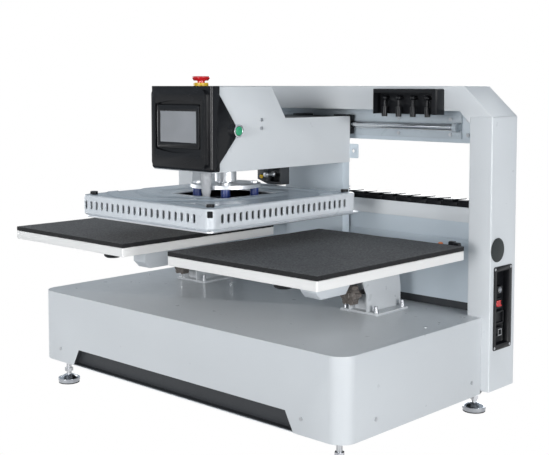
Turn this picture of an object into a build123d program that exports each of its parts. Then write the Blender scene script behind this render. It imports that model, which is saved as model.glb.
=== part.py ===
from build123d import *
import os

os.makedirs("parts", exist_ok=True)

# A two-station heat press: one heated platen hangs from a head that shuttles along a portal frame
# between two lower platens. Millimetres, X to the right, Y towards the back, Z up, Z = 0 on the floor,
# and the origin under the middle of the machine's box.

# Sheet-metal base
SHEET = 2.0
BASE_HALF = 475.0
BASE_FRONT = -246.0
BASE_BACK = 215.0
BASE_LOW = 64.0
BASE_TOP = 230.0
BASE_CORNER = 37.0
RECESS_TOP = 330.0
RECESS_FOOT = 352.0
RECESS_HEIGHT = 40.0
RECESS_DEPTH = 14.0

# Portal frame
COLUMN_OUT = 495.0
COLUMN_WIDTH = 56.0
COLUMN_IN = COLUMN_OUT - COLUMN_WIDTH
FRAME_FRONT = BASE_BACK
FRAME_BACK = 316.0
FRAME_DEPTH = FRAME_BACK - FRAME_FRONT
COLUMN_LOW = 71.0
FRAME_TOP = 723.0
CHAMFER_X = 71.0
CHAMFER_Z = 65.0
BEAM_LOW = 669.0
BEAM_GUSSET = 26.0
WALL = 2.5

# Lower platens and their stations
STATION = 272.0
PLATEN_WIDTH = 400.0
PLATEN_DEPTH = 466.0
PLATEN_FRONT = -FRAME_BACK
PLATEN_MID = PLATEN_FRONT + PLATEN_DEPTH / 2
PLATE_LOW = 362.0
PLATE_THICK = 19.0
PAD_THICK = 10.5
PAD_TOP = PLATE_LOW + PLATE_THICK + PAD_THICK

# Pedestals: a clevis on a bolted foot behind each platen's middle
PEDESTAL_SHIFT = -19.5
PEDESTAL_FOOT_X = 104.0
PEDESTAL_FOOT_Y = 115.0
PEDESTAL_MID_Y = 130.0
PEDESTAL_PLATE = 5.0
CLEVIS_GAP = 44.0
CLEVIS_THICK = 4.0
CLEVIS_FRONT = 58.0
CLEVIS_BACK = 194.0
ARM_FRONT = -92.0
ARM_LOW = 284.0
KNOB_Y = 56.0
KNOB_Z = 274.0
KNOB_RADIUS = 23.0
KNOB_STEM = 5.0

# Linear guide for the head
RAIL_PLATE_LOW = 597.0
RAIL_PLATE_Y = 278.0
SHAFT_Y = 259.0
SHAFT_Z = 632.0
SHAFT_RADIUS = 8.0
SHAFT_HALF = 380.0

# Rear housing under the portal
REAR_FACE = 254.0
REAR_BEAM_LOW = 425.0
REAR_BEAM_TOP = 458.0
REAR_SLOT_TOP = 248.0
GUIDE_LOW = 372.0

# Head, parked a little left of the middle as photographed
HEAD_X = -7.5
HEAD_HALF = 94.0
BEZEL_HALF = 96.5
ARM_BOTTOM = 542.0
HEAD_TOP = 722.0
HEAD_STEP = 652.0
HEAD_SIDE_FRONT = -185.0
SLOPE_FRONT = -26.0
SLOPE_BACK = 20.0
PANEL_FRONT = 222.0
PANEL_BACK = 246.0
LEG_LOW = 340.0
BEZEL_FRONT = -217.0
CHEVRON_APEX = -139.0

# Pressing unit
PRESS_Y = -75.0
HEAT_WIDTH = 400.0
HEAT_DEPTH = 466.0
HEAT_FRONT = -311.0
HEAT_MID = HEAT_FRONT + HEAT_DEPTH / 2
HEAT_LOW = 437.0
COVER_TOP = 485.0
COVER_CORNER = 16.0
FLANGE_RADIUS = 78.0
FLANGE_LOW = 500.0
BUSH_OFFSET = 45.0


# Base housing: a folded sheet box, open below, whose narrow back part runs in between the columns
with BuildPart() as base_housing:
    with BuildSketch(Plane.XY.offset(BASE_LOW)) as base_plan:
        with Locations((0, (BASE_FRONT + BASE_BACK) / 2)):
            Rectangle(2 * BASE_HALF, BASE_BACK - BASE_FRONT)
        fillet(base_plan.vertices().group_by(Axis.Y)[0], BASE_CORNER)
        with Locations((0, (FRAME_FRONT + FRAME_BACK) / 2)):
            Rectangle(2 * (COLUMN_IN - 0.3), FRAME_DEPTH)
    extrude(amount=BASE_TOP - BASE_LOW)
    offset(amount=-SHEET, openings=base_housing.faces().sort_by(Axis.Z)[0])
    with BuildSketch(Plane.XZ.offset(-BASE_FRONT - SHEET - 1)):
        with BuildLine():
            Polyline(
                (-RECESS_FOOT, BASE_LOW - 1),
                (RECESS_FOOT, BASE_LOW - 1),
                (RECESS_TOP, BASE_LOW + RECESS_HEIGHT),
                (-RECESS_TOP, BASE_LOW + RECESS_HEIGHT),
                close=True,
            )
        make_face()
    extrude(amount=SHEET + 2, mode=Mode.SUBTRACT)
base_housing.part.label = "base_housing"
export_step(base_housing.part, "parts/base_housing.step")

# Recess pan: the dark tray that sits behind the opening in the base's front
with BuildPart() as recess_pan:
    with BuildSketch(Plane.XZ.offset(-BASE_FRONT - SHEET)):
        with BuildLine():
            Polyline(
                (-RECESS_FOOT - 6, BASE_LOW + SHEET),
                (RECESS_FOOT + 6, BASE_LOW + SHEET),
                (RECESS_TOP + 6, BASE_LOW + RECESS_HEIGHT + 6),
                (-RECESS_TOP - 6, BASE_LOW + RECESS_HEIGHT + 6),
                close=True,
            )
        make_face()
    extrude(amount=-RECESS_DEPTH)
    with BuildSketch(Plane.XZ.offset(-BASE_FRONT - SHEET)):
        with BuildLine():
            Polyline(
                (-RECESS_FOOT, BASE_LOW + 2 * SHEET),
                (RECESS_FOOT, BASE_LOW + 2 * SHEET),
                (RECESS_TOP, BASE_LOW + RECESS_HEIGHT),
                (-RECESS_TOP, BASE_LOW + RECESS_HEIGHT),
                close=True,
            )
        make_face()
    extrude(amount=-RECESS_DEPTH + SHEET, mode=Mode.SUBTRACT)
recess_pan.part.label = "recess_pan"
export_step(recess_pan.part, "parts/recess_pan.step")

# Base floor: the sheet that closes the base from below, with a welded boss over each foot
FOOT_FRONT_X = 430.0
FOOT_FRONT_Y = -202.0
FOOT_BACK_X = 416.0
FOOT_BACK_Y = 284.0
FOOT_PLACES = [(side * FOOT_FRONT_X, FOOT_FRONT_Y) for side in (-1, 1)]
FOOT_PLACES += [(side * FOOT_BACK_X, FOOT_BACK_Y) for side in (-1, 1)]
BOSS_LOW = 58.0
with BuildPart() as base_floor:
    with Locations((0, BASE_FRONT + SHEET + 0.3, BASE_LOW)):
        Box(
            2 * (BASE_HALF - BASE_CORNER - SHEET),
            BASE_BACK - BASE_FRONT - SHEET,
            SHEET,
            align=(Align.CENTER, Align.MIN, Align.MIN),
        )
    with Locations((0, BASE_BACK - 4, BASE_LOW)):
        Box(
            2 * (COLUMN_IN - SHEET - 0.6),
            FRAME_DEPTH + 4 - SHEET - 0.3,
            SHEET,
            align=(Align.CENTER, Align.MIN, Align.MIN),
        )
    with Locations(*[(x, y, BOSS_LOW) for x, y in FOOT_PLACES]):
        Box(36, 36, BASE_LOW - BOSS_LOW, align=(Align.CENTER, Align.CENTER, Align.MIN))
    with Locations(*[(x, y, BOSS_LOW) for x, y in FOOT_PLACES]):
        Cylinder(6, 5, align=(Align.CENTER, Align.CENTER, Align.MIN), mode=Mode.SUBTRACT)
base_floor.part.label = "base_floor"
export_step(base_floor.part, "parts/base_floor.step")

# Electronics inside the base: the power supply and the control board with its relays
with BuildPart() as electronics:
    with Locations((300, 40, BASE_LOW + SHEET)):
        Box(215, 115, 50, align=(Align.CENTER, Align.CENTER, Align.MIN))
    fillet(electronics.edges().filter_by(Axis.Z), 3)
    with Locations((-260, 40, BASE_LOW + SHEET)):
        Box(220, 160, 12, align=(Align.CENTER, Align.CENTER, Align.MIN))
        with GridLocations(90, 70, 2, 2):
            with Locations((0, 0, 12)):
                Box(34, 26, 16, align=(Align.CENTER, Align.CENTER, Align.MIN))
electronics.part.label = "electronics"
export_step(electronics.part, "parts/electronics.step")

# Levelling feet: threaded stems with a lock nut, and chromed bell pads on rubber soles
SOLE_HIGH = 6.0
STEM_LOW = 20.0
with BuildPart() as foot_stems:
    with BuildSketch(Plane.XY.offset(STEM_LOW)):
        with Locations(*FOOT_PLACES):
            Circle(6)
    extrude(amount=BOSS_LOW + 5 - STEM_LOW)
    with BuildSketch(Plane.XY.offset(STEM_LOW + 8)):
        with Locations(*FOOT_PLACES):
            RegularPolygon(radius=10, side_count=6)
    extrude(amount=8)
foot_stems.part.label = "foot_stems"
export_step(foot_stems.part, "parts/foot_stems.step")

with BuildPart() as foot_pads:
    with Locations(*[(x, y, 0) for x, y in FOOT_PLACES]):
        Cylinder(25, SOLE_HIGH, align=(Align.CENTER, Align.CENTER, Align.MIN))
    with Locations(*[(x, y, SOLE_HIGH) for x, y in FOOT_PLACES]):
        Cylinder(26, 6, align=(Align.CENTER, Align.CENTER, Align.MIN))
    with Locations(*[(x, y, SOLE_HIGH + 6) for x, y in FOOT_PLACES]):
        Cone(24, 9, STEM_LOW - SOLE_HIGH - 6, align=(Align.CENTER, Align.CENTER, Align.MIN))
foot_pads.part.label = "foot_pads"
export_step(foot_pads.part, "parts/foot_pads.step")

# Columns: hollow sheet boxes, each with a round cap near the front edge of its outer face
POCKET_Y = 265.0
POCKET_HALF_Y = 36.5
POCKET_LOW = 158.0
POCKET_TOP = 339.0
POCKET_DEPTH = 16.0
CAP_Y = 241.5
CAP_Z = 375.0
CAP_RADIUS = 26.0
SHOULDER = FRAME_TOP - CHAMFER_Z
COLUMN_X = COLUMN_OUT - COLUMN_WIDTH / 2
COLUMN_Y = (FRAME_FRONT + FRAME_BACK) / 2
for side, label in ((-1, "column_left"), (1, "column_right")):
    with BuildPart() as column:
        with Locations((side * COLUMN_X, COLUMN_Y, COLUMN_LOW)):
            Box(
                COLUMN_WIDTH,
                FRAME_DEPTH,
                SHOULDER - COLUMN_LOW,
                align=(Align.CENTER, Align.CENTER, Align.MIN),
            )
        fillet(column.edges().filter_by(Axis.Z), 2.4)
        with Locations((side * COLUMN_X, COLUMN_Y, COLUMN_LOW + WALL)):
            Box(
                COLUMN_WIDTH - 2 * WALL,
                FRAME_DEPTH - 2 * WALL,
                SHOULDER - COLUMN_LOW - 2 * WALL,
                align=(Align.CENTER, Align.CENTER, Align.MIN),
                mode=Mode.SUBTRACT,
            )
        if side > 0:
            with Locations((COLUMN_OUT, POCKET_Y, (POCKET_LOW + POCKET_TOP) / 2)):
                Box(3 * WALL, 2 * POCKET_HALF_Y - 8, POCKET_TOP - POCKET_LOW - 8, mode=Mode.SUBTRACT)
    column.part.label = label
    export_step(column.part, f"parts/{label}.step")

# Top beam: a hollow box between the columns, with cut-off outer corners and small inner gussets
with BuildPart() as top_beam:
    with BuildSketch(Plane.XZ.offset(-FRAME_BACK)):
        with BuildLine():
            Polyline(
                (-COLUMN_OUT, SHOULDER),
                (-COLUMN_IN, SHOULDER),
                (-COLUMN_IN, BEAM_LOW - BEAM_GUSSET),
                (-COLUMN_IN + BEAM_GUSSET, BEAM_LOW),
                (COLUMN_IN - BEAM_GUSSET, BEAM_LOW),
                (COLUMN_IN, BEAM_LOW - BEAM_GUSSET),
                (COLUMN_IN, SHOULDER),
                (COLUMN_OUT, SHOULDER),
                (COLUMN_OUT - CHAMFER_X, FRAME_TOP),
                (CHAMFER_X - COLUMN_OUT, FRAME_TOP),
                close=True,
            )
        make_face()
    extrude(amount=FRAME_DEPTH)
    with Locations((0, (FRAME_FRONT + FRAME_BACK) / 2, BEAM_LOW + WALL)):
        Box(
            2 * (COLUMN_OUT - CHAMFER_X - 6),
            FRAME_DEPTH - 2 * WALL,
            FRAME_TOP - BEAM_LOW - 2 * WALL,
            align=(Align.CENTER, Align.CENTER, Align.MIN),
            mode=Mode.SUBTRACT,
        )
top_beam.part.label = "top_beam"
export_step(top_beam.part, "parts/top_beam.step")

# Column caps: round blanking plugs, on both columns
with BuildPart() as column_caps:
    for side in (-1, 1):
        with BuildSketch(Plane.YZ.offset(side * COLUMN_OUT)):
            with Locations((CAP_Y, CAP_Z)):
                Circle(CAP_RADIUS)
        extrude(amount=side * 1.5)
column_caps.part.label = "column_caps"
export_step(column_caps.part, "parts/column_caps.step")

# Service panel: a black tray let into the right column's outer face, with the switch's housing
PANEL_RIM = 1.0
PANEL_FACE = COLUMN_OUT + 2.4 - POCKET_DEPTH
PANEL_MID_Z = (POCKET_LOW + POCKET_TOP) / 2
SOCKET_Y = 262.0
SWITCH_Z = 256.0
with BuildPart() as service_panel:
    with BuildSketch(Plane.YZ.offset(COLUMN_OUT)):
        with Locations((POCKET_Y, PANEL_MID_Z)):
            RectangleRounded(2 * POCKET_HALF_Y, POCKET_TOP - POCKET_LOW, 5)
    extrude(amount=PANEL_RIM)
    with BuildSketch(Plane.YZ.offset(COLUMN_OUT)):
        with Locations((POCKET_Y, PANEL_MID_Z)):
            Rectangle(2 * POCKET_HALF_Y - 8.6, POCKET_TOP - POCKET_LOW - 8.6)
    extrude(amount=-POCKET_DEPTH)
    with BuildSketch(Plane.YZ.offset(COLUMN_OUT + PANEL_RIM)):
        with Locations((POCKET_Y, PANEL_MID_Z)):
            Rectangle(2 * POCKET_HALF_Y - 22, POCKET_TOP - POCKET_LOW - 22)
    extrude(amount=PANEL_FACE - COLUMN_OUT - PANEL_RIM, mode=Mode.SUBTRACT)
    with BuildSketch(Plane.YZ.offset(PANEL_FACE)):
        with Locations((SOCKET_Y, SWITCH_Z)):
            RectangleRounded(26, 22, 2)
            Rectangle(20, 16, mode=Mode.SUBTRACT)
    extrude(amount=6)
service_panel.part.label = "service_panel"
export_step(service_panel.part, "parts/service_panel.step")

# Sockets on the service panel: a signal port, the mains inlet and a data port, from the top
SOCKETS = ((286.0, 22.0, 16.0, 9.0), (226.0, 34.0, 28.0, 9.0), (194.0, 34.0, 20.0, 8.0))
with BuildPart() as service_sockets:
    for socket_z, socket_wide, socket_high, socket_out in SOCKETS:
        with BuildSketch(Plane.YZ.offset(PANEL_FACE)):
            with Locations((SOCKET_Y, socket_z)):
                RectangleRounded(socket_wide, socket_high, 2)
        extrude(amount=socket_out)
        with BuildSketch(Plane.YZ.offset(PANEL_FACE + socket_out)):
            with Locations((SOCKET_Y, socket_z)):
                RectangleRounded(socket_wide - 6, socket_high - 6, 1.5)
        extrude(amount=-4.5, mode=Mode.SUBTRACT)
service_sockets.part.label = "service_sockets"
export_step(service_sockets.part, "parts/service_sockets.step")

# Power rocker: tips about its own cross pin in the switch housing
with BuildPart() as power_rocker:
    with BuildSketch(Plane.XZ.offset(-SOCKET_Y - 9)):
        with BuildLine():
            Polyline(
                (PANEL_FACE + 2.5, SWITCH_Z - 5.5),
                (PANEL_FACE + 9.4, SWITCH_Z - 6.6),
                (PANEL_FACE + 6.8, SWITCH_Z),
                (PANEL_FACE + 7.4, SWITCH_Z + 6.6),
                (PANEL_FACE + 2.5, SWITCH_Z + 5.5),
                close=True,
            )
        make_face()
    extrude(amount=18)
power_rocker.part.label = "power_rocker"
export_step(power_rocker.part, "parts/power_rocker.step")

# Rear housing: a front skin with the head's lower guide strip, a beam that carries the cable chain,
# a dark slot strip and a back cover
with BuildPart() as rear_panel:
    with Locations((0, REAR_FACE, REAR_SLOT_TOP)):
        Box(
            2 * COLUMN_IN - 0.6,
            SHEET,
            REAR_BEAM_LOW - REAR_SLOT_TOP,
            align=(Align.CENTER, Align.MIN, Align.MIN),
        )
    with Locations((0, REAR_FACE, GUIDE_LOW)):
        Box(2 * COLUMN_IN - 20, 4, 14, align=(Align.CENTER, Align.MAX, Align.MIN))
rear_panel.part.label = "rear_panel"
export_step(rear_panel.part, "parts/rear_panel.step")

with BuildPart() as slot_strip:
    with Locations((0, REAR_FACE + 4, BASE_TOP)):
        Box(
            2 * COLUMN_IN - 0.6,
            4,
            REAR_SLOT_TOP - BASE_TOP + 12,
            align=(Align.CENTER, Align.MIN, Align.MIN),
        )
slot_strip.part.label = "slot_strip"
export_step(slot_strip.part, "parts/slot_strip.step")

with BuildPart() as rear_beam:
    with BuildSketch(Plane.YZ.offset(-COLUMN_IN + 0.3)):
        with BuildLine():
            Polyline(
                (REAR_FACE - 2, REAR_BEAM_LOW),
                (FRAME_BACK, REAR_BEAM_LOW),
                (FRAME_BACK, REAR_BEAM_TOP),
                (FRAME_BACK - 3, REAR_BEAM_TOP),
                (FRAME_BACK - 3, REAR_BEAM_TOP - 6),
                (REAR_FACE + 1, REAR_BEAM_TOP - 6),
                (REAR_FACE + 1, REAR_BEAM_TOP),
                (REAR_FACE - 2, REAR_BEAM_TOP),
                close=True,
            )
        make_face()
    extrude(amount=2 * COLUMN_IN - 0.6)
rear_beam.part.label = "rear_beam"
export_step(rear_beam.part, "parts/rear_beam.step")

with BuildPart() as back_cover:
    with Locations((0, FRAME_BACK - SHEET, BASE_TOP)):
        Box(2 * COLUMN_IN - 0.6, SHEET, REAR_BEAM_LOW - BASE_TOP, align=(Align.CENTER, Align.MIN, Align.MIN))
    with BuildSketch(Plane.XZ.offset(-FRAME_BACK)):
        with Locations((0, 330)):
            with GridLocations(60, 22, 7, 4):
                SlotOverall(44, 6)
    extrude(amount=SHEET, mode=Mode.SUBTRACT)
back_cover.part.label = "back_cover"
export_step(back_cover.part, "parts/back_cover.step")

# Cable chain: plastic links that lie in the rear beam's tray, from the head's bracket to the right
LINK_PITCH = 42.0
LINK_COUNT = 10
CHAIN_Y = 284.0
CHAIN_LOW = REAR_BEAM_TOP - 6
with BuildPart() as cable_chain:
    for link in range(LINK_COUNT):
        link_x = 22 + link * LINK_PITCH
        with Locations((link_x, CHAIN_Y, CHAIN_LOW)):
            Box(LINK_PITCH - 2, 42, 14, align=(Align.CENTER, Align.CENTER, Align.MIN))
        with BuildSketch(Plane.XY.offset(CHAIN_LOW + 14)):
            with Locations((link_x, CHAIN_Y)):
                Polygon((-18, -22), (10, -22), (18, 22), (-10, 22), align=None)
        extrude(amount=6)
cable_chain.part.label = "cable_chain"
export_step(cable_chain.part, "parts/cable_chain.step")

# Head guide: a plate under the beam, an aluminium support rail with end blocks, a ground shaft
with BuildPart() as rail_plate:
    with Locations((0, RAIL_PLATE_Y, RAIL_PLATE_LOW)):
        Box(2 * COLUMN_IN - 0.6, 3, BEAM_LOW - RAIL_PLATE_LOW, align=(Align.CENTER, Align.MIN, Align.MIN))
    chamfer(rail_plate.edges().filter_by(Axis.Y).group_by(Axis.Z)[-1], 0.5)
    with BuildSketch(Plane.XZ.offset(-RAIL_PLATE_Y - 3)):
        for side in (-1, 1):
            with BuildLine():
                Polyline(
                    (side * (COLUMN_IN - BEAM_GUSSET - 1.5), BEAM_LOW + 1),
                    (side * (COLUMN_IN + 1), BEAM_LOW - BEAM_GUSSET - 1.5),
                    (side * (COLUMN_IN + 1), BEAM_LOW + 1),
                    close=True,
                )
            make_face()
    extrude(amount=3, mode=Mode.SUBTRACT)
rail_plate.part.label = "rail_plate"
export_step(rail_plate.part, "parts/rail_plate.step")

with BuildPart() as support_rail:
    with BuildSketch(Plane.YZ.offset(-SHAFT_HALF)):
        with BuildLine():
            Polyline(
                (RAIL_PLATE_Y, SHAFT_Z - 26),
                (RAIL_PLATE_Y, SHAFT_Z + 26),
                (RAIL_PLATE_Y - 4, SHAFT_Z + 26),
                (RAIL_PLATE_Y - 4, SHAFT_Z + 8),
                (SHAFT_Y + 5, SHAFT_Z + 4),
                (SHAFT_Y + 5, SHAFT_Z - 4),
                (RAIL_PLATE_Y - 4, SHAFT_Z - 8),
                (RAIL_PLATE_Y - 4, SHAFT_Z - 26),
                close=True,
            )
        make_face()
    extrude(amount=2 * SHAFT_HALF)
    with Locations((0, SHAFT_Y, SHAFT_Z)):
        Cylinder(SHAFT_RADIUS, 2 * SHAFT_HALF + 2, rotation=(0, 90, 0), mode=Mode.SUBTRACT)
    for side in (-1, 1):
        with Locations((side * (SHAFT_HALF - 5), SHAFT_Y, SHAFT_Z)):
            Cylinder(SHAFT_RADIUS + 2.5, 9.8, rotation=(0, 90, 0))
support_rail.part.label = "support_rail"
export_step(support_rail.part, "parts/support_rail.step")

with BuildPart() as guide_shaft:
    with Locations((0, SHAFT_Y, SHAFT_Z)):
        Cylinder(SHAFT_RADIUS, 2 * SHAFT_HALF - 20, rotation=(0, 90, 0))
guide_shaft.part.label = "guide_shaft"
export_step(guide_shaft.part, "parts/guide_shaft.step")

# Drive inside the top beam: a motor, its pulley and a toothed belt above the shaft
with BuildPart() as shuttle_motor:
    with Locations((-370, 268, BEAM_LOW + WALL)):
        Box(56, 56, 40, align=(Align.CENTER, Align.CENTER, Align.MIN))
    with Locations((-370, 268, BEAM_LOW + WALL + 40)):
        Cylinder(10, 7, align=(Align.CENTER, Align.CENTER, Align.MIN))
shuttle_motor.part.label = "shuttle_motor"
export_step(shuttle_motor.part, "parts/shuttle_motor.step")

with BuildPart() as drive_belt:
    with BuildSketch(Plane.XY.offset(BEAM_LOW + WALL + 40)):
        with Locations((0, 268)):
            SlotOverall(764, 24)
            SlotOverall(760, 20, mode=Mode.SUBTRACT)
    extrude(amount=6)
drive_belt.part.label = "drive_belt"
export_step(drive_belt.part, "parts/drive_belt.step")

# Pointer housing: the black open-fronted box on the beam that holds four aiming pointers
POINTER_LEFT = 200.0
POINTER_RIGHT = 374.0
POINTER_OUT = 30.0
POINTER_LOW = 661.0
POINTER_TOP = 717.0
POINTER_MID = (POINTER_LEFT + POINTER_RIGHT) / 2
POINTER_PITCH = 39.0
POINTER_PIVOT_Z = 697.0
POINTER_X = [POINTER_MID - 4 + (i - 1.5) * POINTER_PITCH for i in range(4)]
with BuildPart() as pointer_housing:
    with Locations((POINTER_MID, FRAME_FRONT, POINTER_LOW)):
        Box(
            POINTER_RIGHT - POINTER_LEFT,
            POINTER_OUT,
            POINTER_TOP - POINTER_LOW,
            align=(Align.CENTER, Align.MAX, Align.MIN),
        )
    chamfer(pointer_housing.edges().filter_by(Axis.Z).group_by(Axis.Y)[0], 3)
    fillet(pointer_housing.edges().filter_by(Axis.Y).group_by(Axis.Z)[-1], 4)
    with Locations((POINTER_MID - 4, FRAME_FRONT - 4, POINTER_LOW - 1)):
        Box(
            POINTER_RIGHT - POINTER_LEFT - 16,
            POINTER_OUT,
            POINTER_TOP - POINTER_LOW - 8,
            align=(Align.CENTER, Align.MAX, Align.MIN),
            mode=Mode.SUBTRACT,
        )
    for pointer_x in POINTER_X:
        with Locations((pointer_x, FRAME_FRONT - 4, POINTER_PIVOT_Z)):
            Cylinder(5, 5.8, rotation=(90, 0, 0), align=(Align.CENTER, Align.CENTER, Align.MIN))
pointer_housing.part.label = "pointer_housing"
export_step(pointer_housing.part, "parts/pointer_housing.step")

# Pointers: four small light heads, each on its own ball stem, turned by hand
POINTER_Y = FRAME_FRONT - 16
for index, pointer_x in enumerate(POINTER_X, start=1):
    with BuildPart() as pointer:
        with Locations((pointer_x, POINTER_Y, POINTER_PIVOT_Z)):
            Sphere(6)
        with BuildSketch(Plane.XY.offset(POINTER_PIVOT_Z - 2)):
            with Locations((pointer_x, POINTER_Y)):
                Circle(3)
        extrude(amount=-18)
        with BuildSketch(Plane.XY.offset(POINTER_PIVOT_Z - 20)):
            with Locations((pointer_x, POINTER_Y)):
                Circle(6.5)
        extrude(amount=-22)
    pointer.part.label = f"pointer_{index}"
    export_step(pointer.part, f"parts/pointer_{index}.step")

# Stations: each has a pedestal, its bolts, an arm, a clamp knob, a platen and a heat-proof pad
for side, name in ((-1, "left"), (1, "right")):
    station_x = side * STATION
    pedestal_x = station_x + PEDESTAL_SHIFT

    with BuildPart() as pedestal:
        with BuildSketch(Plane.XY.offset(BASE_TOP)):
            with Locations((pedestal_x, PEDESTAL_MID_Y)):
                RectangleRounded(PEDESTAL_FOOT_X, PEDESTAL_FOOT_Y, 5)
        extrude(amount=PEDESTAL_PLATE)
        for cheek in (-1, 1):
            cheek_x = pedestal_x + cheek * (CLEVIS_GAP + CLEVIS_THICK) / 2
            with BuildSketch(Plane.YZ.offset(cheek_x - CLEVIS_THICK / 2)):
                with BuildLine():
                    Polyline(
                        (CLEVIS_BACK - 2, BASE_TOP + PEDESTAL_PLATE),
                        (CLEVIS_FRONT + 14, BASE_TOP + PEDESTAL_PLATE),
                        (CLEVIS_FRONT + 14, 274),
                        (CLEVIS_FRONT, 300),
                        (CLEVIS_FRONT, 352),
                        (CLEVIS_BACK - 42, 352),
                    )
                    ThreePointArc((CLEVIS_BACK - 42, 352), (CLEVIS_BACK - 13, 316), (CLEVIS_BACK - 2, 262))
                    Line((CLEVIS_BACK - 2, 262), (CLEVIS_BACK - 2, BASE_TOP + PEDESTAL_PLATE))
                make_face()
            extrude(amount=CLEVIS_THICK)
        with Locations((pedestal_x, CLEVIS_BACK - 8, BASE_TOP + PEDESTAL_PLATE)):
            Box(CLEVIS_GAP, 4, 27, align=(Align.CENTER, Align.MAX, Align.MIN))
        with Locations((pedestal_x, KNOB_Y + 34, BASE_TOP + PEDESTAL_PLATE)):
            Box(CLEVIS_GAP, 30, 305 - BASE_TOP - PEDESTAL_PLATE, align=(Align.CENTER, Align.MIN, Align.MIN))
        with Locations((pedestal_x, KNOB_Y + 33, KNOB_Z)):
            Cylinder(
                KNOB_STEM + 0.06,
                32,
                rotation=(-90, 0, 0),
                align=(Align.CENTER, Align.CENTER, Align.MIN),
                mode=Mode.SUBTRACT,
            )
    pedestal.part.label = f"pedestal_{name}"
    export_step(pedestal.part, f"parts/pedestal_{name}.step")

    with BuildPart() as arm:
        with BuildSketch(Plane.YZ.offset(pedestal_x - CLEVIS_GAP / 2)):
            with BuildLine():
                Polyline(
                    (ARM_FRONT, PLATE_LOW),
                    (ARM_FRONT, 300),
                    (ARM_FRONT + 16, ARM_LOW),
                    (4, ARM_LOW),
                    (22, 306),
                    (CLEVIS_BACK - 50, 306),
                    (CLEVIS_BACK - 50, PLATE_LOW),
                    close=True,
                )
            make_face()
        extrude(amount=CLEVIS_GAP)
    arm.part.label = f"arm_{name}"
    export_step(arm.part, f"parts/arm_{name}.step")

    with BuildPart() as platen_plate:
        with Locations((station_x, PLATEN_MID, PLATE_LOW)):
            Box(PLATEN_WIDTH, PLATEN_DEPTH, PLATE_THICK, align=(Align.CENTER, Align.CENTER, Align.MIN))
        fillet(platen_plate.edges().filter_by(Axis.Z), 3)
    platen_plate.part.label = f"platen_{name}"
    export_step(platen_plate.part, f"parts/platen_{name}.step")

    with BuildPart() as platen_pad:
        with Locations((station_x, PLATEN_MID, PLATE_LOW + PLATE_THICK)):
            Box(PLATEN_WIDTH, PLATEN_DEPTH, PAD_THICK, align=(Align.CENTER, Align.CENTER, Align.MIN))
        fillet(platen_pad.edges().filter_by(Axis.Z), 3)
    platen_pad.part.label = f"pad_{name}"
    export_step(platen_pad.part, f"parts/pad_{name}.step")

    with BuildPart() as clamp_knob:
        with BuildSketch(Plane.XZ.offset(-KNOB_Y)):
            with Locations((pedestal_x, KNOB_Z)):
                Circle(KNOB_RADIUS - 4)
                with PolarLocations(KNOB_RADIUS - 5, 6):
                    Circle(5.5)
        extrude(amount=20)
        with Locations((pedestal_x, KNOB_Y - 20, KNOB_Z)):
            Cylinder(9, 3, rotation=(90, 0, 0), align=(Align.CENTER, Align.CENTER, Align.MIN))
        with Locations((pedestal_x, KNOB_Y, KNOB_Z)):
            Cylinder(KNOB_STEM, 44, rotation=(-90, 0, 0), align=(Align.CENTER, Align.CENTER, Align.MIN))
    clamp_knob.part.label = f"clamp_knob_{name}"
    export_step(clamp_knob.part, f"parts/clamp_knob_{name}.step")

# Frame fasteners: pedestal nuts and studs, rail screws, service-panel screws and the base's screws
RAIL_SCREW_X = (-398, -352, -210, -70, 70, 210, 352, 398)
with BuildPart() as frame_fasteners:
    for side in (-1, 1):
        with Locations((side * STATION + PEDESTAL_SHIFT, PEDESTAL_MID_Y)):
            with GridLocations(PEDESTAL_FOOT_X - 20, PEDESTAL_FOOT_Y - 20, 2, 2):
                with Locations((0, 0, BASE_TOP + PEDESTAL_PLATE)):
                    Cylinder(6, 6, align=(Align.CENTER, Align.CENTER, Align.MIN))
                with Locations((0, 0, BASE_TOP + PEDESTAL_PLATE + 6)):
                    Cylinder(4, 8, align=(Align.CENTER, Align.CENTER, Align.MIN))
    with BuildSketch(Plane.XZ.offset(-RAIL_PLATE_Y + 4)):
        with Locations(*[(x, SHAFT_Z + rise) for x in RAIL_SCREW_X for rise in (-17, 17)]):
            Circle(4.2)
    extrude(amount=3)
    with BuildSketch(Plane.YZ.offset(COLUMN_OUT + PANEL_RIM)):
        with Locations((POCKET_Y, PANEL_MID_Z)):
            with GridLocations(2 * POCKET_HALF_Y - 11, POCKET_TOP - POCKET_LOW - 11, 2, 2):
                Circle(3)
    extrude(amount=0.5)
    with BuildSketch(Plane.XZ.offset(-BASE_FRONT)):
        with Locations((-400, 96), (372, 96)):
            Circle(4)
    extrude(amount=1.5)
    for side in (-1, 1):
        with BuildSketch(Plane.YZ.offset(side * BASE_HALF)):
            with Locations((-150, 96), (180, 96)):
                Circle(4)
        extrude(amount=side * 1.5)
    with BuildSketch(Plane.XY.offset(BASE_TOP)):
        with Locations((-440, 60), (440, 60)):
            Circle(4)
    extrude(amount=1.5)
frame_fasteners.part.label = "frame_fasteners"
export_step(frame_fasteners.part, "parts/frame_fasteners.step")

# Head cheeks: two sheet sides that step down behind the screen, so that the tail runs under the beam
with BuildPart() as head_cheeks:
    for side in (-1, 1):
        with BuildSketch(Plane.YZ.offset(HEAD_X + side * HEAD_HALF)):
            with BuildLine():
                Polyline(
                    (BEZEL_FRONT + 14, ARM_BOTTOM),
                    (PANEL_BACK, ARM_BOTTOM),
                    (PANEL_BACK, HEAD_STEP),
                    (SLOPE_BACK, HEAD_STEP),
                    (SLOPE_FRONT, HEAD_TOP),
                    (BEZEL_FRONT + 14, HEAD_TOP),
                    close=True,
                )
            make_face()
        extrude(amount=-side * SHEET)
head_cheeks.part.label = "head_cheeks"
export_step(head_cheeks.part, "parts/head_cheeks.step")

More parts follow.
